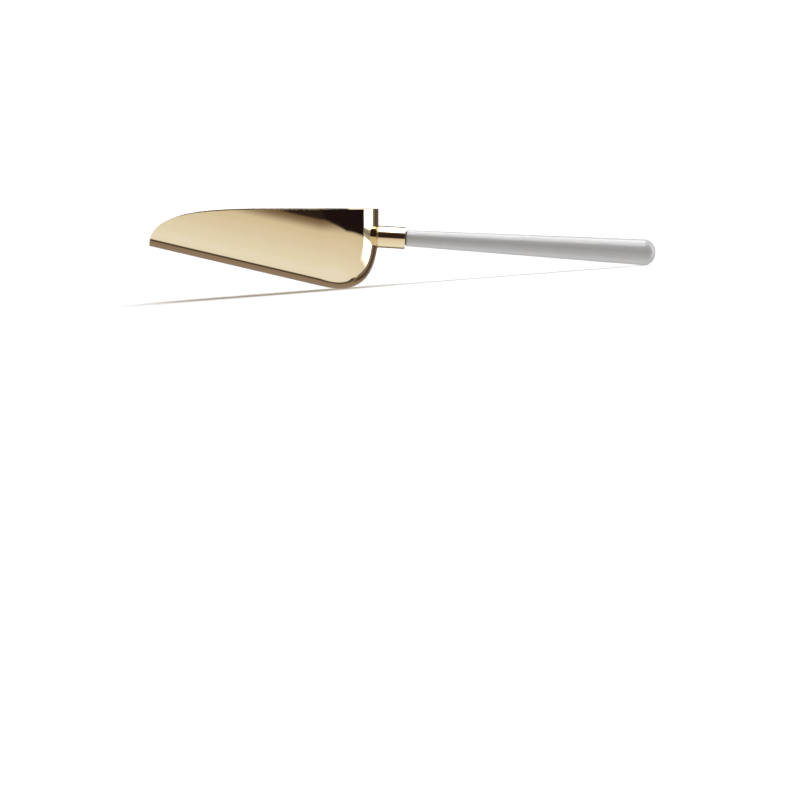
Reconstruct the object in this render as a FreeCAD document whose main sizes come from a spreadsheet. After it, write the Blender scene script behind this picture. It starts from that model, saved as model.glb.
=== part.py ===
"""A small bar ice scoop: sheet-metal bowl, turned ferrule, braze, stud, washer and tapered handle.

Design frame: origin on the centre plane where the rim meets the rear wall, +X towards the handle,
+Z up out of the bowl, rim plane at z = 0. Every piece is then placed by one pitch and shift, so that
the scoop lies as it does on a table: heel and handle end both on z = 0, origin under its middle.
Lengths are in millimetres and angles in degrees.
"""

import FreeCAD, Part
import math
import os

import Sketcher

Vector = FreeCAD.Vector
Y_AXIS = Vector(0, 1, 0)

# how near a point or a size must be to count as the same, and how far a cutting solid reaches
SAME_SIZE = 1e-4
ON_BARREL = 0.02
REACH = 400.0
# a trim that leaves more than this share of the bowl has missed it
LARGEST_SHARE_LEFT = 0.95
# the rest pitch is searched for between level and this angle, halving the range each time
STEEPEST_PITCH = 15.0
PITCH_HALVINGS = 26

SIZES = {
    # bowl: a trough with upright sides, a keel that deepens to the rear and a half-round rear wall
    "bowl_length": 97.7,
    "bowl_half_width": 24.5,
    "sheet_thickness": 1.0,
    "keel_angle": 13.15,
    "keel_depth_front": 15.8,
    "section_height": 32.0,
    "section_fullness": 0.71,
    "rim_round": 0.3,
    # front edge of the bowl, seen from the side: one curve from the lip up to the rim
    "lip_depth": 17.4,
    "lip_rise_end": 2.85,
    "lip_lead": 13.8,
    "lip_length": 52.0,
    "trim_margin": 40.0,
    # ferrule, on an axis that falls away from the rim plane
    "axis_depth": 11.8,
    "axis_fall": 3.4,
    "ferrule_diameter": 9.3,
    "ferrule_length": 11.4,
    "ferrule_edge": 0.2,
    "ferrule_overrun": 4.0,
    "braze_leg": 0.5,
    # threaded joint: each thread is a plain cylinder of its major diameter
    "stud_diameter": 4.0,
    "stud_chamfer": 0.5,
    "hole_spare": 0.5,
    "drill_point": 1.2,
    "ferrule_engagement": 7.5,
    "handle_engagement": 11.5,
    "washer_diameter": 5.7,
    "washer_thickness": 0.55,
    # handle
    "handle_length": 106.4,
    "handle_thin_diameter": 6.8,
    "handle_thick_diameter": 11.0,
    "handle_end_round": 4.9,
    "handle_front_round": 0.35,
}

# Worked out in the sheet: radii, and stations along the ferrule axis from the bowl's rear wall.
DERIVED = {
    "ferrule_radius": "=ferrule_diameter / 2",
    "stud_radius": "=stud_diameter / 2",
    "washer_radius": "=washer_diameter / 2",
    "handle_thin_radius": "=handle_thin_diameter / 2",
    "handle_thick_radius": "=handle_thick_diameter / 2",
    "ferrule_root": "=-ferrule_overrun",
    "stud_front": "=ferrule_length - ferrule_engagement",
    "ferrule_hole_end": "=stud_front - hole_spare",
    "ferrule_hole_tip": "=ferrule_hole_end - drill_point",
    "handle_front": "=ferrule_length + washer_thickness",
    "stud_rear": "=handle_front + handle_engagement",
    "handle_hole_end": "=stud_rear + hole_spare",
    "handle_hole_tip": "=handle_hole_end + drill_point",
    "handle_rear": "=handle_front + handle_length",
    "lip_x": "=-bowl_length",
    "lip_lead_x": "=lip_x + lip_lead",
    "lip_end_x": "=lip_x + lip_length",
    "lip_low_z": "=-lip_depth",
    "lip_rise_z": "=-lip_rise_end",
    "trim_front_x": "=lip_x - trim_margin",
    "trim_low_z": "=-trim_margin",
    "trim_high_z": "=trim_margin",
}


def make_sheet(doc):
    """The spreadsheet of driving and derived sizes, one aliased cell a row."""
    sheet = doc.addObject("Spreadsheet::Sheet", "Sizes")
    for row, (name, content) in enumerate({**SIZES, **DERIVED}.items(), start=1):
        sheet.set(f"A{row}", name)
        sheet.setAlias(f"B{row}", name)
        sheet.set(f"B{row}", str(content))
    doc.recompute()
    return sheet


# ---------------------------------------------------------------- sketches and turned pieces


def new_sketch(body, name, plane_role):
    """A sketch on one of the body's own origin planes."""
    plane = next(f for f in body.Origin.OriginFeatures if f.Role == plane_role)
    sketch = body.newObject("Sketcher::SketchObject", name)
    sketch.AttachmentSupport = [(plane, "")]
    sketch.MapMode = "FlatFace"
    return sketch


def pin_point(sketch, sheet, geometry, position, x_name, y_name):
    """Ties a sketch point to two cells of the sheet. A name of None is zero, on that axis."""
    for kind, name, axis in (("DistanceX", x_name, -2), ("DistanceY", y_name, -1)):
        if name is None:
            rule = Sketcher.Constraint("PointOnObject", geometry, position, axis)
            sketch.addConstraint(rule)
            continue
        size = float(sheet.get(name))
        rule = Sketcher.Constraint(kind, -1, 1, geometry, position, size)
        index = sketch.addConstraint(rule)
        sketch.setExpression(f"Constraints[{index}]", f"Sizes.{name}")


def point_at(sheet, names):
    """The point that a pair of cell names gives, with None for zero."""
    x, y = (0.0 if name is None else float(sheet.get(name)) for name in names)
    return Vector(x, y, 0)


def add_lines(sketch, sheet, corners, closed):
    """A chain of lines through corners given as pairs of cell names."""
    points = [point_at(sheet, corner) for corner in corners]
    ends = points[1:] + points[:1] if closed else points[1:]
    lines = [sketch.addGeometry(Part.LineSegment(*pair)) for pair in zip(points, ends)]
    for before, after in zip(lines, lines[1:]):
        sketch.addConstraint(Sketcher.Constraint("Coincident", before, 2, after, 1))
    if closed:
        sketch.addConstraint(Sketcher.Constraint("Coincident", lines[-1], 2, lines[0], 1))
    for line, corner in zip(lines, corners):
        pin_point(sketch, sheet, line, 1, *corner)
    if not closed:
        pin_point(sketch, sheet, lines[-1], 2, *corners[-1])


def add_cubic(sketch, sheet, corners):
    """One cubic curve whose four control points are pairs of cell names."""
    poles = [point_at(sheet, corner) for corner in corners]
    spline = Part.BSplineCurve()
    spline.buildFromPolesMultsKnots(poles, [4, 4], [0.0, 1.0], False, 3)
    curve = sketch.addGeometry(spline)
    for number, (pole, corner) in enumerate(zip(poles, corners)):
        handle = sketch.addGeometry(Part.Circle(pole, Vector(0, 0, 1), 1.0), True)
        kind = "InternalAlignment:Sketcher::BSplineControlPoint"
        sketch.addConstraint(Sketcher.Constraint("Weight", handle, 1.0))
        sketch.addConstraint(Sketcher.Constraint(kind, handle, 3, curve, number))
        pin_point(sketch, sheet, handle, 3, *corner)


def turned(doc, sheet, name, profile):
    """A body turned about its own X axis from a closed profile of (station, radius) corners."""
    body = doc.addObject("PartDesign::Body", name)
    sketch = new_sketch(body, f"{name}_profile", "XZ_Plane")
    add_lines(sketch, sheet, profile, closed=True)
    lathe = body.newObject("PartDesign::Revolution", f"{name}_turned")
    lathe.Profile = sketch
    lathe.ReferenceAxis = (sketch, ["H_Axis"])
    lathe.Angle = 360.0
    sketch.Visibility = False
    doc.recompute()
    return body


def edge_names(shape, wanted):
    """Names of a shape's edges for which wanted(edge) is true."""
    return [f"Edge{n}" for n, edge in enumerate(shape.Edges, start=1) if wanted(edge)]


def ring_at(station, radius):
    """Tells whether an edge is the full circle of that radius about X at that station."""

    def wanted(edge):
        curve = edge.Curve
        return (
            isinstance(curve, Part.Circle)
            and math.isclose(curve.Center.x, station, abs_tol=SAME_SIZE)
            and math.isclose(curve.Radius, radius, abs_tol=SAME_SIZE)
        )

    return wanted


def dress_ring(doc, sheet, body, kind, size_name, station_name, radius_name):
    """A fillet or chamfer on one circular edge of a turned body."""
    station, radius = float(sheet.get(station_name)), float(sheet.get(radius_name))
    names = edge_names(body.Tip.Shape, ring_at(station, radius))
    base = body.Tip
    dress = body.newObject(f"PartDesign::{kind}", f"{body.Name}_{station_name}_edge")
    dress.Base = (base, names)
    size = "Radius" if kind == "Fillet" else "Size"
    dress.setExpression(size, f"Sizes.{size_name}")
    doc.recompute()


# ---------------------------------------------------------------- bowl


def trough(sheet, inset):
    """The space inside the bowl's outer skin, or with an inset, inside its inner skin.

    An upright section with a full, round floor is drawn forward and turned about an upright axis
    for the rear wall. A shear along Z then tips the floor to the keel angle and keeps the walls upright.
    """
    size = {name: float(sheet.get(name)) for name in SIZES}
    slope = math.tan(math.radians(size["keel_angle"]))
    width = size["bowl_half_width"] - inset
    height = size["section_height"] - inset
    full = size["section_fullness"]
    turn_x = -size["bowl_half_width"]
    headroom = size["trim_margin"]
    floor_depth = size["keel_depth_front"] + slope * (size["bowl_length"] + turn_x)
    floor_depth -= inset / math.cos(math.radians(size["keel_angle"]))

    floor_z = -floor_depth
    shoulder_z = floor_z + height
    poles = (
        (0, floor_z),
        (full * width, floor_z),
        (width, shoulder_z - full * height),
        (width, shoulder_z),
    )
    quarter = Part.BezierCurve()
    quarter.setPoles([Vector(turn_x, y, z) for y, z in poles])
    outline = (poles[-1], (width, headroom), (0, headroom), poles[0])
    corners = [Vector(turn_x, y, z) for y, z in outline]
    upright = [Part.makeLine(start, end) for start, end in zip(corners, corners[1:])]
    half = Part.Face(Part.Wire([quarter.toShape(), *upright]))

    near_side = half.extrude(Vector(-size["bowl_length"], 0, 0))
    far_side = near_side.mirror(Vector(0, 0, 0), Y_AXIS)
    rear = half.revolve(Vector(turn_x, 0, 0), Vector(0, 0, 1), -180)
    solid = near_side.fuse([far_side, rear]).removeSplitter().Solids[0]

    shear = FreeCAD.Matrix()
    shear.A31 = -slope
    shear.A34 = slope * turn_x
    return solid.transformGeometry(shear)


def make_skin_form(doc, sheet):
    """The bowl's outer form, filled solid up to the rim plane: what the ferrule is saddle-cut to."""
    form = doc.addObject("Part::Feature", "skin_form")
    form.Shape = below_rim(trough(sheet, 0.0))
    return form


def below_rim(shape):
    """What of a shape lies below the rim plane."""
    slab = Part.makeBox(REACH, REACH, REACH, Vector(-REACH / 2, -REACH / 2, -REACH))
    return shape.common(slab).Solids[0]


def make_bowl(doc, sheet, skin_form):
    """The bowl: hollow form, trimmed to the front edge's curve, with its rim edges broken."""
    hollow = doc.addObject("Part::Feature", "hollow_form")
    hollow.Shape = skin_form.Shape.cut(trough(sheet, float(sheet.get("sheet_thickness")))).Solids[0]

    body = doc.addObject("PartDesign::Body", "bowl")
    body.BaseFeature = hollow
    doc.recompute()
    before = body.Shape.Volume
    sketch = new_sketch(body, "front_edge", "XZ_Plane")
    lip = [
        ("lip_x", "lip_low_z"),
        ("lip_x", "lip_rise_z"),
        ("lip_lead_x", None),
        ("lip_end_x", None),
    ]
    frame = [
        ("lip_end_x", None),
        ("lip_end_x", "trim_high_z"),
        ("trim_front_x", "trim_high_z"),
        ("trim_front_x", "trim_low_z"),
        ("lip_x", "trim_low_z"),
        ("lip_x", "lip_low_z"),
    ]
    add_cubic(sketch, sheet, lip)
    add_lines(sketch, sheet, frame, closed=False)
    sketch.Visibility = False
    trim = body.newObject("PartDesign::Pocket", "front_trim")
    trim.Profile = sketch
    trim.Type = "ThroughAll"
    trim.Midplane = True
    doc.recompute()
    if body.Shape.Volume > LARGEST_SHARE_LEFT * before:
        raise RuntimeError("the front trim cut nothing")
    round_rim(doc, sheet, body, trim)
    return body


def is_sheet_edge(face):
    """Tells whether a face is cut through the sheet: the flat rim, or the front edge drawn along Y."""
    return isinstance(face.Surface, (Part.Plane, Part.SurfaceOfExtrusion))


def round_rim(doc, sheet, body, trim):
    """Breaks the sharp edges all round the rim and the front edge, but not those across the sheet."""
    longest_across = 3 * float(sheet.get("sheet_thickness"))
    cut_faces = [face for face in trim.Shape.Faces if is_sheet_edge(face)]
    sharp = [edge for face in cut_faces for edge in face.Edges if edge.Length > longest_across]
    names = edge_names(trim.Shape, lambda edge: any(edge.isSame(other) for other in sharp))
    rim = body.newObject("PartDesign::Fillet", "rim_edges")
    rim.Base = (trim, names)
    rim.setExpression("Radius", "Sizes.rim_round")
    doc.recompute()


# ---------------------------------------------------------------- joint and handle


def make_ferrule(doc, sheet, skin_form):
    """The collar: turned and bored from the handle side, then saddle-cut to the rear wall."""
    profile = [
        ("ferrule_root", None),
        ("ferrule_hole_tip", None),
        ("ferrule_hole_end", "stud_radius"),
        ("ferrule_length", "stud_radius"),
        ("ferrule_length", "ferrule_radius"),
        ("ferrule_root", "ferrule_radius"),
    ]
    blank = turned(doc, sheet, "ferrule_blank", profile)
    dress_ring(doc, sheet, blank, "Chamfer", "ferrule_edge", "ferrule_length", "ferrule_radius")
    blank.Placement = axis_placement(sheet)
    saddle = doc.addObject("Part::Cut", "ferrule")
    saddle.Base = blank
    saddle.Tool = skin_form
    doc.recompute()
    return saddle


def make_braze(doc, sheet, skin_form, ferrule):
    """The braze: the ring with a sloping flank where the ferrule meets the rear wall."""
    leg = float(sheet.get("braze_leg"))
    radius = float(sheet.get("ferrule_radius"))
    to_axis = axis_placement(sheet).inverse()
    joined = skin_form.Shape.fuse(ferrule.Shape)

    def at_root(edge):
        if edge.Degenerated or isinstance(edge.Curve, Part.Line):
            return False
        points = [to_axis.multVec(point) for point in edge.discretize(Number=9)]
        on_barrel = all(abs(math.hypot(p.y, p.z) - radius) < ON_BARREL for p in points)
        return on_barrel and max(p.x for p in points) < radius

    root = [edge for edge in joined.Edges if at_root(edge)]
    filled = joined.makeChamfer(leg, root)
    ring = filled.cut(skin_form.Shape).cut(ferrule.Shape)
    braze = doc.addObject("Part::Feature", "braze_fillet")
    braze.Shape = max(ring.Solids, key=lambda solid: solid.Volume)
    return braze


def make_stud(doc, sheet):
    """The double-ended stud, clear of both hole ends."""
    profile = [
        ("stud_front", None),
        ("stud_rear", None),
        ("stud_rear", "stud_radius"),
        ("stud_front", "stud_radius"),
    ]
    stud = turned(doc, sheet, "stud", profile)
    for station in ("stud_front", "stud_rear"):
        dress_ring(doc, sheet, stud, "Chamfer", "stud_chamfer", station, "stud_radius")
    stud.Placement = axis_placement(sheet)
    return stud


def make_washer(doc, sheet):
    """The thin washer between the ferrule and the handle."""
    profile = [
        ("ferrule_length", "stud_radius"),
        ("handle_front", "stud_radius"),
        ("handle_front", "washer_radius"),
        ("ferrule_length", "washer_radius"),
    ]
    washer = turned(doc, sheet, "joint_washer", profile)
    washer.Placement = axis_placement(sheet)
    return washer


def make_handle(doc, sheet):
    """The tapered handle, bored from its thin end and rounded at both ends."""
    profile = [
        ("handle_hole_tip", None),
        ("handle_rear", None),
        ("handle_rear", "handle_thick_radius"),
        ("handle_front", "handle_thin_radius"),
        ("handle_front", "stud_radius"),
        ("handle_hole_end", "stud_radius"),
    ]
    handle = turned(doc, sheet, "handle", profile)
    rounds = (
        ("handle_end_round", "handle_rear", "handle_thick_radius"),
        ("handle_front_round", "handle_front", "handle_thin_radius"),
    )
    for size, station, radius in rounds:
        dress_ring(doc, sheet, handle, "Fillet", size, station, radius)
    handle.Placement = axis_placement(sheet)
    return handle


def axis_placement(sheet):
    """Where a turned piece goes: its X axis runs out of the rear wall and falls away."""
    depth, fall = float(sheet.get("axis_depth")), float(sheet.get("axis_fall"))
    return FreeCAD.Placement(Vector(0, 0, -depth), FreeCAD.Rotation(Y_AXIS, fall))


# ---------------------------------------------------------------- lying on the table


def lowest(shape, pitch):
    """The lowest point of a shape pitched about Y."""
    turned_shape = shape.copy()
    turned_shape.rotate(Vector(0, 0, 0), Y_AXIS, pitch)
    return turned_shape.optimalBoundingBox(False, False).ZMin


def rest_placement(bowl, handle):
    """The pitch and shift that set both the heel and the handle's end on z = 0."""
    low, high = 0.0, STEEPEST_PITCH
    for _ in range(PITCH_HALVINGS):
        pitch = (low + high) / 2
        if lowest(handle.Shape, pitch) > lowest(bowl.Shape, pitch):
            low = pitch
        else:
            high = pitch
    tilt = FreeCAD.Rotation(Y_AXIS, pitch)
    whole = Part.makeCompound([bowl.Shape, handle.Shape])
    whole.rotate(Vector(0, 0, 0), Y_AXIS, pitch)
    box = whole.optimalBoundingBox(False, False)
    middle = (box.XMin + box.XMax) / 2
    print(f"rest pitch {pitch:.4f} deg, length {box.XLength:.2f}, height {box.ZLength:.2f}")
    return FreeCAD.Placement(Vector(-middle, 0, -box.ZMin), tilt)


def check(doc, pieces):
    """Stops on any object that failed to compute and on any piece that isn't one valid solid."""
    for item in doc.Objects:
        if {"Invalid", "Error"} & set(item.State):
            raise RuntimeError(f"{item.Name} failed: {item.State}")
    for piece in pieces:
        shape = piece.Shape
        if shape.isNull() or not shape.isValid() or len(shape.Solids) != 1:
            raise RuntimeError(f"{piece.Label} isn't one valid solid")


def main():
    doc = FreeCAD.newDocument("ice_scoop")
    sheet = make_sheet(doc)
    skin_form = make_skin_form(doc, sheet)
    bowl = make_bowl(doc, sheet, skin_form)
    ferrule = make_ferrule(doc, sheet, skin_form)
    braze = make_braze(doc, sheet, skin_form, ferrule)
    handle = make_handle(doc, sheet)
    pieces = [bowl, ferrule, braze, make_stud(doc, sheet), make_washer(doc, sheet), handle]

    rest = rest_placement(bowl, handle)
    for piece in pieces:
        piece.Label = piece.Name
        piece.Placement = rest.multiply(piece.Placement)
    doc.recompute()
    check(doc, pieces)

    os.makedirs("parts", exist_ok=True)
    for piece in pieces:
        piece.Shape.exportStep(f"parts/{piece.Label}.step")
        box = piece.Shape.BoundBox
        print(f"{piece.Label}: {piece.Shape.Volume:.1f} mm3, x {box.XMin:.2f} to {box.XMax:.2f}")


main()
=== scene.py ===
"""Looks of the bar ice scoop: mirror-polished pale gold bowl and ferrule, satin white handle.

The pieces are meshed in the design frame: millimetres, origin where the rim meets the rear wall on
the centre plane, +X towards the handle, +Z out of the bowl. pitched() turns their points to the
scoop's resting pitch, and finish_mesh() sets them in the row frame, in metres, lying on the floor as
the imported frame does.
"""

import math
from collections import namedtuple

import bmesh
import bpy
from mathutils import Matrix, Vector


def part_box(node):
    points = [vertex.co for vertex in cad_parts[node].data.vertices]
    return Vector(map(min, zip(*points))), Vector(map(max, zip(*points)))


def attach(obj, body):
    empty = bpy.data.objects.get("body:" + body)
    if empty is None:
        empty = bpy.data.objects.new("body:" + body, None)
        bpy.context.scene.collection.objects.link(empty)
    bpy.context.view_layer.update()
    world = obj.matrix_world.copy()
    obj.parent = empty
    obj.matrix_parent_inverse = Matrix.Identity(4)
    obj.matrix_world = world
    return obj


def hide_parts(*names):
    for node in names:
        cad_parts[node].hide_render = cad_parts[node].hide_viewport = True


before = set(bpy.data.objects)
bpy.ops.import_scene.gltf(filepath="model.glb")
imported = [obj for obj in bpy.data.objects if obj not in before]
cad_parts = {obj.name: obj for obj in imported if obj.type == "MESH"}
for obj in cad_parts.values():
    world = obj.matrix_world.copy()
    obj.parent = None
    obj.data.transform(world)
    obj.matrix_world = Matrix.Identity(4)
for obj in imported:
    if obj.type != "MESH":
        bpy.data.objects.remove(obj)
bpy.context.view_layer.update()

MM = 0.001
ROOT = "root"

# ---------------------------------------------------------------- sizes, mm and radians

REST_PITCH = math.radians(4.4372)

# The bowl: the rear wall turns round an upright axis at TURN_X, and the keel deepens up to it.
BOWL_LENGTH = 97.7
HALF_WIDTH = 24.5
SHEET = 1.0
EDGE_ROUND = 0.3
KEEL_ANGLE = math.radians(13.15)
KEEL_SLOPE = math.tan(KEEL_ANGLE)
KEEL_DEPTH_FRONT = 15.8
SECTION_HEIGHT = 32.0
SECTION_FULLNESS = 0.71
TURN_X = -HALF_WIDTH
FLOOR_DEPTH = KEEL_DEPTH_FRONT + KEEL_SLOPE * (BOWL_LENGTH + TURN_X)
# The front edge seen from the side, from the lip up to the rim: the (x, z) poles of a cubic curve, and
# the curve's parameter where the trough's mesh turns from its front edge to its rim.
LIP = (
    (-BOWL_LENGTH, -17.4),
    (-BOWL_LENGTH, -2.85),
    (13.8 - BOWL_LENGTH, 0.0),
    (52.0 - BOWL_LENGTH, 0.0),
)
LIP_CORNER = 0.28

# The ferrule's axis leaves the rear wall this far under the rim, and falls away from the rim's plane.
# Stations along it are measured from the wall. Beds and overlaps are buried in the next piece.
AXIS_DEPTH = 11.8
AXIS_FALL = math.radians(3.4)
FERRULE_RADIUS = 4.65
FERRULE_LENGTH = 11.4
FERRULE_EDGE = 0.2
FERRULE_BED = 0.3
FERRULE_BORE = 8.0
BRAZE_LEG = 0.5
BRAZE_OVERLAP = 0.4 * BRAZE_LEG
BRAZE_UNDERCUT = 0.05
STUD_RADIUS = 2.0
WASHER_RADIUS = 2.85
WASHER_THICKNESS = 0.55
WASHER_SOFT = 0.12
HANDLE_FRONT = FERRULE_LENGTH + WASHER_THICKNESS
HANDLE_LENGTH = 106.4
HANDLE_BORE = 12.0
HANDLE_THIN_RADIUS = 3.4
HANDLE_THICK_RADIUS = 5.5
HANDLE_END_ROUND = 4.9
HANDLE_FRONT_ROUND = 0.35

# Mesh densities: the bowl's rows from keel to rim and columns along it, and steps of the turned pieces.
SKIN_ROWS = 44
TROUGH_COLUMNS = 84
REAR_COLUMNS = 96
RIM_SEGMENTS = 4
TURNS = 128
ANGLES = [2 * math.pi * i / TURNS for i in range(TURNS)]
BARREL_STEPS = 24
BRAZE_STEPS = 8
TAPER_STEPS = 72
FERRULE_EDGE_STEPS, WASHER_EDGE_STEPS, HANDLE_EDGE_STEPS, HANDLE_END_STEPS = 5, 4, 8, 32
CURVE_STEPS = 400

# Vertices nearer than this are one, in mm. A rim edge is one that turns by more than the angle.
SAME_POINT = 1e-5
RIM_TURN = math.radians(50)
# Searches by halving: the stations between which the rear wall is looked for, and the times halved.
WALL_SEARCH = (2.0, -6.0)
HALVINGS = 40


# ---------------------------------------------------------------- placing


def pitched(point):
    """A design-frame point turned to the scoop's resting pitch, still in mm."""
    return Matrix.Rotation(REST_PITCH, 3, "Y") @ Vector(point)


def axis_point(station, radius, angle):
    """A point round the ferrule axis, in the design frame. Angle 0 is up, and it turns towards -Y."""
    local = Vector((station, -radius * math.sin(angle), radius * math.cos(angle)))
    return Matrix.Rotation(AXIS_FALL, 3, "Y") @ local + Vector((0, 0, -AXIS_DEPTH))


# ---------------------------------------------------------------- the bowl's form


def cubic(poles, t):
    """The point of a cubic curve with these four control points."""
    weights = ((1 - t) ** 3, 3 * t * (1 - t) ** 2, 3 * t * t * (1 - t), t**3)
    return [sum(w * pole[axis] for w, pole in zip(weights, poles)) for axis in (0, 1)]


class Skin:
    """One side of the bowl's sheet: an upright section drawn forward, and turned for the rear wall.

    Its points are found by a station or a turn, and by the length up the section from the keel.
    """

    def __init__(self, inset):
        self.half_width = HALF_WIDTH - inset
        self.height = SECTION_HEIGHT - inset
        self.floor_depth = FLOOR_DEPTH - inset / math.cos(KEEL_ANGLE)
        poles = (
            (0, 0),
            (SECTION_FULLNESS * self.half_width, 0),
            (self.half_width, (1 - SECTION_FULLNESS) * self.height),
            (self.half_width, self.height),
        )
        self.points = [cubic(poles, i / CURVE_STEPS) for i in range(CURVE_STEPS + 1)]
        self.lengths = running_lengths(self.points)

    def keel_z(self, x):
        """Height of the keel line at a station."""
        return -self.floor_depth - KEEL_SLOPE * (x - TURN_X)

    def at_length(self, length):
        """(distance from the centre plane, height over the keel) at a length up the section."""
        if length >= self.lengths[-1]:
            return self.half_width, self.height + length - self.lengths[-1]
        return between(self.lengths, self.points, max(length, 0.0))

    def length_at(self, x, z):
        """The length up the section at which its wall reaches a height in the design frame."""
        height = z - self.keel_z(x)
        if height >= self.height:
            return self.lengths[-1] + height - self.height
        heights = [point[1] for point in self.points]
        return between(heights, [(length,) for length in self.lengths], max(height, 0.0))[0]

    def height_at_width(self, width):
        """The height over the keel at a distance from the centre plane."""
        widths = [point[0] for point in self.points]
        return between(widths, [(point[1],) for point in self.points], width)[0]

    def trough_point(self, x, length, side):
        """A point ahead of the rear wall; side is 1 or -1."""
        width, height = self.at_length(length)
        return Vector((x, side * width, self.keel_z(x) + height))

    def rear_point(self, turn, share):
        """A point round the rear wall, at an angle from +X and a share of the way up to the rim."""
        rim = self.length_at(TURN_X + self.half_width * math.cos(turn), 0.0)
        width, height = self.at_length(rim * share)
        x = TURN_X + width * math.cos(turn)
        return Vector((x, width * math.sin(turn), self.keel_z(x) + height))

    def lip_spot(self, t):
        """(x, length) where the lip curve crosses this skin."""
        x, z = cubic(LIP, t)
        return x, self.length_at(x, z)

    def lip_start(self):
        """The lip curve's parameter at the keel."""
        low, high = 0.0, LIP_CORNER
        for _ in range(HALVINGS):
            middle = (low + high) / 2
            x, z = cubic(LIP, middle)
            low, high = (low, middle) if z > self.keel_z(x) else (middle, high)
        return high

    def mouth_edges(self):
        """The rim from the rear wall to the lip's corner, and the front edge from the keel up to it."""
        shares = [i / CURVE_STEPS for i in range(CURVE_STEPS + 1)]
        flat_end = LIP[-1][0]
        stations = [TURN_X + (flat_end - TURN_X) * share for share in shares[:-1]]
        rim = [(x, self.length_at(x, 0.0)) for x in stations]
        rim += [self.lip_spot(1 + (LIP_CORNER - 1) * share) for share in shares]
        start = self.lip_start()
        front = [self.lip_spot(start + (LIP_CORNER - start) * share) for share in shares]
        return resample(rim, TROUGH_COLUMNS), resample(front, SKIN_ROWS)

    def trough_grid(self):
        """Rows of (x, length) over the unrolled trough, blended between its four sides."""
        rim, front = self.mouth_edges()
        keel = resample([(TURN_X, 0.0), front[0]], TROUGH_COLUMNS)
        rear = resample([(TURN_X, 0.0), rim[0]], SKIN_ROWS)
        grid = []
        for i in range(TROUGH_COLUMNS + 1):
            u = i / TROUGH_COLUMNS
            column = []
            for j in range(SKIN_ROWS + 1):
                v = j / SKIN_ROWS
                spot = []
                for k in (0, 1):
                    sides = (1 - v) * keel[i][k] + v * rim[i][k] + (1 - u) * rear[j][k] + u * front[j][k]
                    rear_corners = (1 - v) * keel[0][k] + v * rim[0][k]
                    front_corners = (1 - v) * keel[-1][k] + v * rim[-1][k]
                    spot.append(sides - (1 - u) * rear_corners - u * front_corners)
                column.append(spot)
            grid.append(column)
        return grid


def running_lengths(line):
    """The length along a polyline at each of its points."""
    lengths = [0.0]
    for before, after in zip(line, line[1:]):
        lengths.append(lengths[-1] + math.dist(before, after))
    return lengths


def between(keys, rows, key):
    """The row between the two whose keys enclose key."""
    low, high = 0, len(keys) - 1
    while high - low > 1:
        middle = (low + high) // 2
        low, high = (middle, high) if keys[middle] <= key else (low, middle)
    share = min(1.0, (key - keys[low]) / (keys[high] - keys[low]))
    return [a + share * (b - a) for a, b in zip(rows[low], rows[high])]


def resample(line, count):
    """count + 1 points evenly spaced along a polyline."""
    lengths = running_lengths(line)
    return [between(lengths, line, lengths[-1] * i / count) for i in range(count + 1)]


OUTER = Skin(0.0)
INNER = Skin(SHEET)


# ---------------------------------------------------------------- mesh helpers


def finish_mesh(name, work, slot_name, material, *nodes):
    """Turns a bmesh in pitched mm into a smooth piece in the row frame, riding on the root body."""
    bmesh.ops.remove_doubles(work, verts=work.verts, dist=SAME_POINT)
    bmesh.ops.recalc_face_normals(work, faces=work.faces)
    to_row = Matrix.Scale(MM, 4) @ Matrix.Translation(SHIFT)
    bmesh.ops.transform(work, matrix=to_row, verts=work.verts)
    mesh = bpy.data.meshes.new(name)
    work.to_mesh(mesh)
    work.free()
    mesh.polygons.foreach_set("use_smooth", [True] * len(mesh.polygons))
    mesh.materials.append(material)
    piece = bpy.data.objects.new(name, mesh)
    bpy.context.scene.collection.objects.link(piece)
    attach(piece, ROOT)
    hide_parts(*nodes)
    return piece


def bridge(work, rows, closed):
    """Quads between neighbouring rows of vertices. closed joins each row's end to its start.

    Where two neighbours are the same vertex, the quad becomes a triangle.
    """
    for lower, upper in zip(rows, rows[1:]):
        count = len(lower)
        for i in range(count if closed else count - 1):
            j = (i + 1) % count
            corners = []
            for vert in (lower[i], lower[j], upper[j], upper[i]):
                if vert not in corners:
                    corners.append(vert)
            if len(corners) > 2:
                work.faces.new(corners)


def axis_vert(work, station, radius, angle):
    """A new vertex round the ferrule axis."""
    return work.verts.new(pitched(axis_point(station, radius, angle)))


def ring(work, station, radius):
    """A row of vertices round the ferrule axis. Radius 0 makes a pole."""
    if radius == 0:
        return [axis_vert(work, station, 0, 0)] * TURNS
    return [axis_vert(work, station, radius, angle) for angle in ANGLES]


def lathe(outline):
    """A bmesh turned round the ferrule axis from (station, radius) points."""
    work = bmesh.new()
    rows = [ring(work, station, radius) for station, radius in outline]
    bridge(work, rows, closed=True)
    return work


def arc(centre, radius, start, end, steps):
    """Points of an arc in (station, radius) space, angles in degrees from +station."""
    angles = [math.radians(start + (end - start) * i / steps) for i in range(steps + 1)]
    return [(centre[0] + radius * math.cos(a), centre[1] + radius * math.sin(a)) for a in angles]


def apply_modifiers(piece):
    """Replaces a piece's mesh by the one that its modifiers give."""
    graph = bpy.context.evaluated_depsgraph_get()
    made = bpy.data.meshes.new_from_object(piece.evaluated_get(graph), depsgraph=graph)
    made.name = piece.data.name
    piece.modifiers.clear()
    piece.data = made


# ---------------------------------------------------------------- pieces


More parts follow.
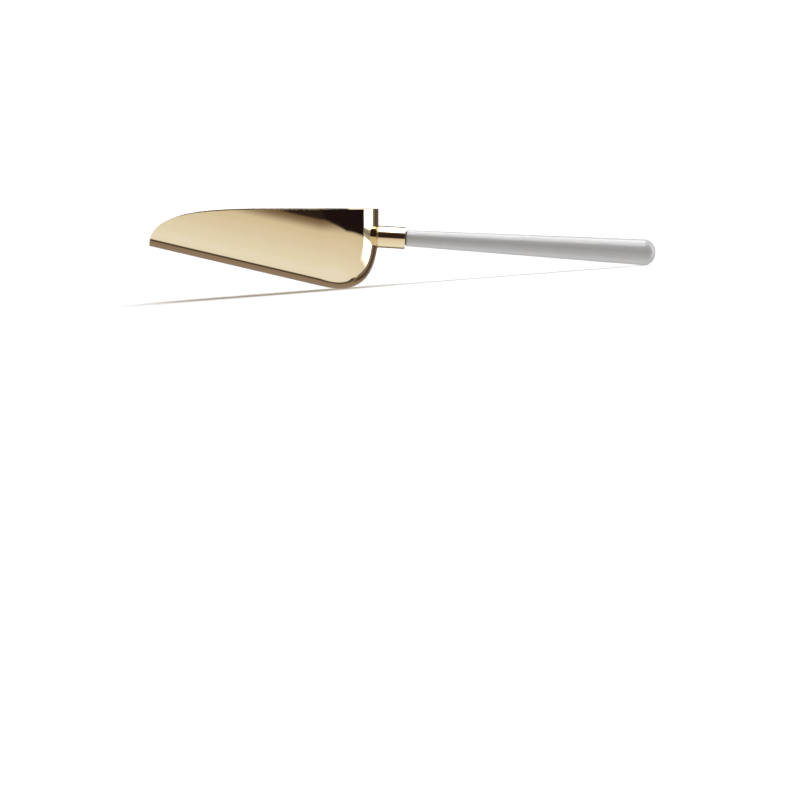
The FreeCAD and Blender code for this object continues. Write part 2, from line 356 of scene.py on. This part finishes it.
def skin_patches(work, skin):
    """The two sides of the trough and the rear wall of one skin. Returns each patch's open edge."""
    grid = skin.trough_grid()
    edges = []
    for side in (1, -1):
        columns = [
            [work.verts.new(pitched(skin.trough_point(x, length, side))) for x, length in column]
            for column in grid
        ]
        bridge(work, columns, closed=False)
        edges.append([column[-1] for column in columns] + columns[-1][-2::-1])
    shares = [j / SKIN_ROWS for j in range(SKIN_ROWS + 1)]
    columns = []
    for i in range(REAR_COLUMNS + 1):
        turn = math.pi * (i / REAR_COLUMNS - 0.5)
        columns.append([work.verts.new(pitched(skin.rear_point(turn, share))) for share in shares])
    bridge(work, columns, closed=False)
    edges.append([column[-1] for column in columns])
    return edges


def build_bowl(material):
    """The drawn bowl: an outer and an inner skin, joined round the rim, with its edges rounded."""
    work = bmesh.new()
    for outer_edge, inner_edge in zip(skin_patches(work, OUTER), skin_patches(work, INNER)):
        bridge(work, [outer_edge, inner_edge], closed=False)
    bowl = finish_mesh("bowl_shell", work, "gold_sheet", material, "bowl")

    edge = bowl.modifiers.new("edge", "BEVEL")
    edge.width = EDGE_ROUND * MM
    edge.segments = RIM_SEGMENTS
    edge.limit_method = "ANGLE"
    edge.angle_limit = RIM_TURN
    edge.harden_normals = True
    apply_modifiers(bowl)
    return bowl


def wall_station(radius, angle):
    """Where a line along the ferrule axis, at that radius and angle, meets the bowl's rear wall."""
    outside, inside = WALL_SEARCH
    for _ in range(HALVINGS):
        middle = (outside + inside) / 2
        point = axis_point(middle, radius, angle)
        width = math.hypot(point.x - TURN_X, point.y)
        beyond = width >= HALF_WIDTH
        if not beyond:
            beyond = point.z < OUTER.keel_z(point.x) + OUTER.height_at_width(width)
        outside, inside = (middle, inside) if beyond else (outside, middle)
    return outside


def build_ferrule(material):
    """The turned collar, its root following the rear wall and bedded a little into it."""
    work = bmesh.new()
    roots = [wall_station(FERRULE_RADIUS, angle) - FERRULE_BED for angle in ANGLES]
    front = FERRULE_LENGTH - FERRULE_EDGE
    rows = []
    for j in range(BARREL_STEPS + 1):
        share = j / BARREL_STEPS
        stations = [root + share * (front - root) for root in roots]
        barrel = zip(stations, ANGLES)
        rows.append([axis_vert(work, station, FERRULE_RADIUS, angle) for station, angle in barrel])
    corner = (front, FERRULE_RADIUS - FERRULE_EDGE)
    outline = arc(corner, FERRULE_EDGE, 90, 0, FERRULE_EDGE_STEPS)[1:]
    outline += [(FERRULE_LENGTH, STUD_RADIUS), (FERRULE_LENGTH - FERRULE_BORE, STUD_RADIUS)]
    rows += [ring(work, station, radius) for station, radius in outline]
    bridge(work, rows, closed=True)
    return finish_mesh("ferrule_collar", work, "gold_turned", material, "ferrule")


def build_braze(material):
    """The concave ring of braze metal where the ferrule meets the rear wall."""
    work = bmesh.new()
    outer_radius = FERRULE_RADIUS + BRAZE_LEG
    rings = []
    for angle in ANGLES:
        root = wall_station(FERRULE_RADIUS, angle)
        foot = wall_station(outer_radius, angle)
        section = []
        for j in range(BRAZE_STEPS + 1):
            sweep = math.pi / 2 * j / BRAZE_STEPS
            inward, outward = 1 - math.sin(sweep), 1 - math.cos(sweep)
            station = root + (foot - root) * outward + BRAZE_LEG * inward
            section.append((station, FERRULE_RADIUS + BRAZE_LEG * outward))
        section.append((foot - BRAZE_OVERLAP, outer_radius))
        section.append((root - BRAZE_OVERLAP, FERRULE_RADIUS - BRAZE_UNDERCUT))
        rings.append([axis_vert(work, station, radius, angle) for station, radius in section])
    rings.append(rings[0])
    bridge(work, rings, closed=True)
    return finish_mesh("braze_ring", work, "gold_braze", material, "braze_fillet")


def build_washer(material):
    """The thin washer, with softened rims."""
    outer = WASHER_RADIUS - WASHER_SOFT
    outline = [(FERRULE_LENGTH, STUD_RADIUS)]
    outline += arc((FERRULE_LENGTH + WASHER_SOFT, outer), WASHER_SOFT, 180, 90, WASHER_EDGE_STEPS)
    outline += arc((HANDLE_FRONT - WASHER_SOFT, outer), WASHER_SOFT, 90, 0, WASHER_EDGE_STEPS)
    outline += [(HANDLE_FRONT, STUD_RADIUS), (FERRULE_LENGTH, STUD_RADIUS)]
    return finish_mesh("washer_ring", lathe(outline), "washer_grey", material, "joint_washer")


def build_handle(material):
    """The tapered bar: bored front face, soft front edge, straight taper, rounded end."""
    rear = HANDLE_FRONT + HANDLE_LENGTH
    widening = HANDLE_THICK_RADIUS - HANDLE_THIN_RADIUS
    square = 90 + math.degrees(math.atan(widening / HANDLE_LENGTH))
    end_centre = (rear - HANDLE_END_ROUND, HANDLE_THICK_RADIUS - HANDLE_END_ROUND)
    front_centre = (HANDLE_FRONT + HANDLE_FRONT_ROUND, HANDLE_THIN_RADIUS - HANDLE_FRONT_ROUND)
    outline = [(HANDLE_FRONT + HANDLE_BORE, STUD_RADIUS), (HANDLE_FRONT, STUD_RADIUS)]
    outline += arc(front_centre, HANDLE_FRONT_ROUND, 180, square, HANDLE_EDGE_STEPS)
    end = arc(end_centre, HANDLE_END_ROUND, square, 0, HANDLE_END_STEPS)
    start = outline[-1]
    for i in range(1, TAPER_STEPS):
        share = i / TAPER_STEPS
        outline.append(tuple(a + share * (b - a) for a, b in zip(start, end[0])))
    outline += end + [(rear, 0)]
    return finish_mesh("handle_bar", lathe(outline), "white_enamel", material, "handle")


# ---------------------------------------------------------------- materials


# The pointiness at which a face starts to count as an edge, and at which it is wholly one.
EDGE_BEND = (0.52, 0.62)


class Nodes:
    """A short way to write one material's node tree."""

    def __init__(self, name):
        self.material = bpy.data.materials.new(name)
        self.material.use_nodes = True
        self.tree = self.material.node_tree
        self.shader = self.tree.nodes["Principled BSDF"]
        self.place = self.add("ShaderNodeTexCoord").outputs["Object"]

    def add(self, kind, **settings):
        """A node with these of its properties set."""
        node = self.tree.nodes.new(kind)
        for key, value in settings.items():
            setattr(node, key, value)
        return node

    def feed(self, node, **inputs):
        """Sets or links a node's inputs, named with spaces as underscores."""
        for key, value in inputs.items():
            socket = node.inputs[key.replace("_", " ")]
            if isinstance(value, bpy.types.NodeSocket):
                self.tree.links.new(value, socket)
            else:
                socket.default_value = value

    def wire(self, colour, roughness=None, normal=None):
        """Links the shader's colour and, if given, its roughness and normal."""
        links = {"Base Color": colour, "Roughness": roughness, "Normal": normal}
        for name, output in links.items():
            if output is not None:
                self.tree.links.new(output, self.shader.inputs[name])

    def stretched(self, scale, turn=(0.0, 0.0, 0.0)):
        """Object coordinates scaled by axis, for marks that run one way."""
        node = self.add("ShaderNodeMapping")
        self.feed(node, Vector=self.place, Scale=scale, Rotation=turn)
        return node.outputs["Vector"]

    def noise(self, scale, detail=3.0, at=None, roughness=0.5):
        """Noise of a size given as cells to the metre."""
        node = self.add("ShaderNodeTexNoise")
        self.feed(node, Vector=at or self.place, Scale=scale, Detail=detail, Roughness=roughness)
        return node.outputs["Fac"]

    def ranged(self, value, low_in, high_in, low, high):
        """A value mapped from one range to another and held inside it."""
        node = self.add("ShaderNodeMapRange", clamp=True)
        self.feed(node, Value=value, From_Min=low_in, From_Max=high_in, To_Min=low, To_Max=high)
        return node.outputs["Result"]

    def mixed(self, share, first, second):
        """A colour between two."""
        node = self.add("ShaderNodeMix", data_type="RGBA")
        self.tree.links.new(share, node.inputs["Factor"])
        node.inputs["A"].default_value = (*first, 1.0)
        node.inputs["B"].default_value = (*second, 1.0)
        return node.outputs["Result"]

    def worn_edges(self):
        """1 along a piece's rounded edges, 0 on its faces."""
        bend = self.add("ShaderNodeNewGeometry").outputs["Pointiness"]
        return self.ranged(bend, *EDGE_BEND, 0.0, 1.0)

    def raised(self, value, share, gain):
        """A value with a share of a gain added."""
        node = self.add("ShaderNodeMath", operation="MULTIPLY_ADD")
        for socket, given in zip(node.inputs, (share, gain, value)):
            if isinstance(given, bpy.types.NodeSocket):
                self.tree.links.new(given, socket)
            else:
                socket.default_value = given
        return node.outputs["Value"]

    def bump(self, height, distance, strength=1.0, over=None):
        """A bump of that height in metres, laid over another if given."""
        node = self.add("ShaderNodeBump")
        self.feed(node, Height=height, Distance=distance, Strength=strength)
        if over is not None:
            self.tree.links.new(over, node.inputs["Normal"])
        return node.outputs["Normal"]


def polished_gold(name, base, worn, roughness, lines_per_metre):
    """Mirror gold: faint polishing lines along one axis, soft waves, hazy patches and fine scratches."""
    nodes = Nodes(name)
    edges = nodes.worn_edges()

    haze = nodes.noise(60.0, detail=4.0)
    patches = nodes.raised(nodes.ranged(haze, 0.55, 0.85, 0.0, 1.0), edges, 0.5)
    colour = nodes.mixed(patches, base, worn)

    rough = nodes.ranged(haze, 0.3, 0.75, roughness * 0.7, roughness * 1.8)
    rough = nodes.raised(rough, edges, 0.08)

    waves = nodes.noise(38.0, detail=1.0)
    lines = nodes.noise(1.0, detail=2.0, at=nodes.stretched(lines_per_metre))
    scratch_at = nodes.stretched((300.0, 9000.0, 9000.0), turn=(0.2, 0.5, 0.9))
    scratches = nodes.ranged(nodes.noise(1.0, detail=1.0, at=scratch_at), 0.70, 0.78, 0.0, 1.0)
    normal = nodes.bump(waves, 40e-6)
    normal = nodes.bump(lines, 0.4e-6, 0.6, over=normal)
    normal = nodes.bump(scratches, 0.6e-6, 0.5, over=normal)

    nodes.wire(colour, rough, normal)
    nodes.shader.inputs["Metallic"].default_value = 1.0
    return nodes.material


def white_enamel(name):
    """Satin white enamel: faint orange peel, soft gloss patches, and duller along its edges."""
    nodes = Nodes(name)
    tone = nodes.ranged(nodes.noise(45.0, detail=4.0), 0.35, 0.75, 0.0, 1.0)
    colour = nodes.mixed(tone, (0.640, 0.650, 0.661), (0.625, 0.634, 0.644))

    rough = nodes.ranged(nodes.noise(220.0, detail=4.0), 0.3, 0.7, 0.20, 0.28)
    rough = nodes.raised(rough, nodes.worn_edges(), 0.12)

    flow = nodes.noise(140.0, detail=2.0)
    peel = nodes.noise(1600.0, detail=2.0)
    normal = nodes.bump(flow, 6e-6)
    normal = nodes.bump(peel, 1.8e-6, 0.5, over=normal)

    nodes.wire(colour, rough, normal)
    nodes.shader.inputs["Specular IOR Level"].default_value = 0.65
    return nodes.material


def grey_washer(name):
    """Matt dark grey washer with a fine grain."""
    nodes = Nodes(name)
    grain = nodes.noise(5200.0)
    colour = nodes.mixed(grain, (0.15, 0.135, 0.12), (0.20, 0.18, 0.16))
    rough = nodes.ranged(grain, 0.3, 0.7, 0.55, 0.8)
    nodes.wire(colour, rough, nodes.bump(grain, 10e-6))
    return nodes.material


def turned_steel(name):
    """Bright turned steel with thread-like tool marks round the axis, for the hidden stud."""
    nodes = Nodes(name)
    across_axis = nodes.stretched((6000.0, 60.0, 60.0), turn=(0.0, -REST_PITCH - AXIS_FALL, 0.0))
    marks = nodes.noise(1.0, detail=2.0, at=across_axis)
    colour = nodes.mixed(marks, (0.55, 0.55, 0.56), (0.68, 0.68, 0.69))
    rough = nodes.ranged(marks, 0.3, 0.7, 0.22, 0.42)
    nodes.wire(colour, rough, nodes.bump(marks, 10e-6))
    nodes.shader.inputs["Metallic"].default_value = 1.0
    return nodes.material


def floor_paper(name):
    """Matt pale paper with a faint grain."""
    nodes = Nodes(name)
    nodes.wire(nodes.mixed(nodes.noise(900.0), (0.90, 0.90, 0.90), (0.92, 0.92, 0.92)))
    nodes.shader.inputs["Roughness"].default_value = 0.9
    nodes.shader.inputs["Specular IOR Level"].default_value = 0.0
    return nodes.material


# ---------------------------------------------------------------- studio


# One light or dark patch of the studio, by direction. Angles are in degrees: the bearing of its middle
# runs from the camera's side towards the handle, half_width is to either side of that and low to high
# is its elevation, each with a softness. level and rise slant its lower edge, which is level to within
# that many degrees of the middle and rises by that share of the bearing beyond it.
Panel = namedtuple(
    "Panel", "bearing half_width side_soft low high end_soft colour level rise", defaults=(0, 0)
)
ALL_ROUND, NADIR, ZENITH = 180, -90, 90

# Laid over one another in this order. A colour of None is the overhead softbox's own light.
ROOM = (0.034, 0.022, 0.019)
CURTAIN = (0.014, 0.008, 0.010)
PANELS = (
    # the table: its far edge, brown in the distance, and then paler towards the scoop
    Panel(0, ALL_ROUND, 0, NADIR, -4.6, 0.8, (0.22, 0.16, 0.11)),
    Panel(0, ALL_ROUND, 0, NADIR, -9.4, 4.4, (0.82, 0.75, 0.66)),
    Panel(0, ALL_ROUND, 0, NADIR, -19.4, 7.0, (0.88, 0.84, 0.79)),
    Panel(0, ALL_ROUND, 0, NADIR, -35.4, 12.0, (0.94, 0.93, 0.91)),
    Panel(0, ALL_ROUND, 0, NADIR, -61.4, 14.0, (0.99, 1.01, 1.06)),
    # a dark curtain on the handle's side
    Panel(78, 76, 8, -10.8, 0, 0.8, CURTAIN, level=26, rise=0.138),
    # brown behind, with a darker line in it
    Panel(180, 46, 6, -57, -9, 2.5, (0.31, 0.24, 0.19)),
    Panel(180, 46, 6, -56.5, -48.5, 1.5, (0.085, 0.063, 0.048)),
    # dim, then the tall strip softbox on the handle's side, and a weaker one on the tip's side
    Panel(144, 17, 2, -45, 52, 4.0, (0.24, 0.19, 0.15)),
    Panel(147, 8, 3, -45, 52, 4.0, (0.10, 0.068, 0.06)),
    Panel(113, 15.5, 1.5, -25, 55, 6.0, (2.8, 2.8, 2.95)),
    Panel(-82, 22, 5, -14, 55, 5.0, (1.25, 1.25, 1.25)),
    # the overhead softbox, lower behind than in front, in its dim surround
    Panel(0, ALL_ROUND, 0, 44, ZENITH, 6.0, (0.20, 0.15, 0.12)),
    Panel(180, 110, 16, 49, ZENITH, 4.0, None),
    Panel(0, ALL_ROUND, 0, 56, ZENITH, 3.0, None),
)

# The overhead softbox as polished faces mirror it: its cloth, and a brighter tube in it that runs across
# the scoop. The tube is where the direction's X part is near its middle, to within a half width, with
# soft sides. Matt faces get both as one even light.
CLOTH = (1.15, 1.15, 1.15)
TUBE = (4.8, 4.8, 4.8)
EVEN_LIGHT = (2.5, 2.5, 2.5)
TUBE_MIDDLE, TUBE_HALF_WIDTH, TUBE_SOFT = 0.13, 0.11, 0.04

# What the camera sees round the scoop.
BACKDROP = (1.1, 1.1, 1.1)


class Sky:
    """A short way to write the world's node tree, which turns the direction of a ray into light."""

    def __init__(self, name):
        world = bpy.data.worlds.new(name)
        world.use_nodes = True
        bpy.context.scene.world = world
        self.tree = world.node_tree
        self.tree.nodes.clear()
        self.direction = self.node("ShaderNodeTexCoord").outputs["Generated"]
        self.along, _, upward = self.node("ShaderNodeSeparateXYZ", self.direction).outputs
        self.elevation = self.maths("ARCSINE", upward)
        flat = self.vector_maths("MULTIPLY", self.direction, (1.0, 1.0, 0.0)).outputs["Vector"]
        self.heading = self.vector_maths("NORMALIZE", flat).outputs["Vector"]

    def node(self, kind, *values, **settings):
        """A node with its properties set, and its first inputs set or linked."""
        node = self.tree.nodes.new(kind)
        for key, value in settings.items():
            setattr(node, key, value)
        for socket, value in zip(node.inputs, values):
            self.give(socket, value)
        return node

    def give(self, socket, value):
        """Links an input to an output, or sets it to a value."""
        if isinstance(value, bpy.types.NodeSocket):
            self.tree.links.new(value, socket)
        else:
            socket.default_value = value

    def maths(self, operation, *values):
        """A number worked out from one or two others."""
        return self.node("ShaderNodeMath", *values, operation=operation).outputs["Value"]

    def vector_maths(self, operation, *values):
        """The node that works out a vector, or a number, from one or two vectors."""
        return self.node("ShaderNodeVectorMath", *values, operation=operation)

    def eased(self, value, start, end):
        """0 to 1 as a value goes from start to end, with a smooth beginning and end."""
        settings = {"interpolation_type": "SMOOTHSTEP"}
        return self.node("ShaderNodeMapRange", value, start, end, 0.0, 1.0, **settings).outputs["Result"]

    def eased_angle(self, value, start, end):
        """eased() between two angles in degrees."""
        return self.eased(value, math.radians(start), math.radians(end))

    def laid_over(self, share, below, colour):
        """A colour laid over another by a share."""
        node = self.node("ShaderNodeMix", data_type="RGBA")
        for name, value in (("Factor", share), ("A", below), ("B", colour)):
            self.give(node.inputs[name], (*value, 1.0) if isinstance(value, tuple) else value)
        return node.outputs["Result"]

    def share_of(self, panel):
        """1 where the ray goes to a panel and 0 elsewhere, eased over the panel's soft edges."""
        middle = math.radians(panel.bearing)
        towards = (math.sin(middle), -math.cos(middle), 0.0)
        facing = self.vector_maths("DOT_PRODUCT", self.heading, towards).outputs["Value"]
        off = self.maths("ARCCOSINE", facing)
        share = 1.0
        if panel.high < ZENITH:
            outer, inner = panel.high + panel.end_soft, panel.high - panel.end_soft
            share = self.eased_angle(self.elevation, outer, inner)
        if panel.low > NADIR:
            over = self.elevation
            if panel.rise:
                outside = self.maths("SUBTRACT", off, math.radians(panel.level))
                outside = self.maths("MAXIMUM", outside, 0.0)
                over = self.maths("SUBTRACT", over, self.maths("MULTIPLY", outside, panel.rise))
            above = self.eased_angle(over, panel.low - panel.end_soft, panel.low + panel.end_soft)
            share = self.maths("MULTIPLY", share, above)
        if panel.half_width < ALL_ROUND:
            outer, inner = panel.half_width + panel.side_soft, panel.half_width - panel.side_soft
            share = self.maths("MULTIPLY", share, self.eased_angle(off, outer, inner))
        return share


def studio_world():
    """Plain soft studio light: softboxes above and beside, a pale table below, a dim room between."""
    sky = Sky("studio")
    rays = sky.node("ShaderNodeLightPath").outputs
    aside = sky.maths("ABSOLUTE", sky.maths("SUBTRACT", sky.along, TUBE_MIDDLE))
    in_tube = sky.eased(aside, TUBE_HALF_WIDTH + TUBE_SOFT, TUBE_HALF_WIDTH - TUBE_SOFT)
    mirrored = sky.laid_over(in_tube, CLOTH, TUBE)
    overhead = sky.laid_over(rays["Is Glossy Ray"], EVEN_LIGHT, mirrored)

    light = ROOM
    for panel in PANELS:
        light = sky.laid_over(sky.share_of(panel), light, panel.colour or overhead)
    light = sky.laid_over(rays["Is Camera Ray"], light, BACKDROP)
    background = sky.node("ShaderNodeBackground", light)
    sky.node("ShaderNodeOutputWorld", background.outputs["Background"])


def build_floor():
    """The plain pale floor that the scoop lies on, 10 m across. Nothing mirrors it or is lit by it."""
    work = bmesh.new()
    bmesh.ops.create_circle(work, cap_ends=True, segments=96, radius=5.0)
    mesh = bpy.data.meshes.new("floor")
    work.to_mesh(mesh)
    work.free()
    mesh.materials.append(floor_paper("floor_paper"))
    floor = bpy.data.objects.new("floor", mesh)
    bpy.context.scene.collection.objects.link(floor)
    floor.visible_glossy = False
    floor.visible_diffuse = False
    floor.visible_shadow = False


# The camera, in the design frame and mm: how far it stands from the centre plane, how far above the rim,
# what it looks at, and the width that it sees there.
CAMERA_DISTANCE = 3400.0
CAMERA_ABOVE_RIM = 36.0
CAMERA_AIM = Vector((9.2, 0.0, -81.6))
SEEN_WIDTH = 341.6
CAMERA_CLIP = (0.05, 40.0)


def build_camera():
    """A long lens almost level with the rim, square to the scoop's side, with the rim level."""
    camera = bpy.data.cameras.new("camera")
    camera.sensor_width = 36.0
    camera.lens = camera.sensor_width * CAMERA_DISTANCE / SEEN_WIDTH
    camera.clip_start, camera.clip_end = CAMERA_CLIP
    rig = bpy.data.objects.new("camera", camera)
    bpy.context.scene.collection.objects.link(rig)
    eye = Vector((CAMERA_AIM.x, -CAMERA_DISTANCE, CAMERA_ABOVE_RIM))
    back = (eye - CAMERA_AIM).normalized()
    right = Vector((0, 0, 1)).cross(back).normalized()
    turn = Matrix((right, back.cross(right), back)).transposed()
    turn = Matrix.Rotation(REST_PITCH, 3, "Y") @ turn
    rig.matrix_world = Matrix.Translation((pitched(eye) + SHIFT) * MM) @ turn.to_4x4()
    bpy.context.scene.camera = rig


# ---------------------------------------------------------------- the scene


def resting_shift():
    """The shift, in mm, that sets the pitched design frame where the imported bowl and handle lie."""
    rear = pitched(axis_point(HANDLE_FRONT + HANDLE_LENGTH - HANDLE_END_ROUND, 0, 0))
    end_sphere = HANDLE_THICK_RADIUS - HANDLE_END_ROUND
    fall = REST_PITCH + AXIS_FALL
    reach = rear.x + HANDLE_END_ROUND + end_sphere * math.sin(fall)
    drop = rear.z - HANDLE_END_ROUND - end_sphere * math.cos(fall)
    packed_low, packed_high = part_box("handle")
    return Vector((packed_high[0] / MM - reach, 0.0, packed_low[2] / MM - drop))


SHIFT = resting_shift()

# What is built in gold: its slot, its polished and worn colours, its roughness, and how many polishing
# lines there are to the metre along each axis.
GOLDS = (
    (build_bowl, "gold_sheet", (0.80, 0.68, 0.455), (0.78, 0.65, 0.42), 0.035, (40.0, 2500.0, 2500.0)),
    (build_ferrule, "gold_turned", (0.80, 0.67, 0.43), (0.78, 0.64, 0.40), 0.045, (2500.0, 90.0, 90.0)),
    (build_braze, "gold_braze", (0.78, 0.61, 0.34), (0.72, 0.55, 0.29), 0.26, (900.0, 900.0, 900.0)),
)


def main():
    """Light, floor, camera, the dressed pieces, and the hidden stud's material."""
    bpy.context.scene.view_settings.view_transform = "Standard"
    studio_world()
    build_floor()
    build_camera()
    for build, *gold in GOLDS:
        build(polished_gold(*gold))
    build_washer(grey_washer("washer_grey"))
    build_handle(white_enamel("white_enamel"))
    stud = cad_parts["stud"]
    stud.data.materials.clear()
    stud.data.materials.append(turned_steel("stud_steel"))


main()
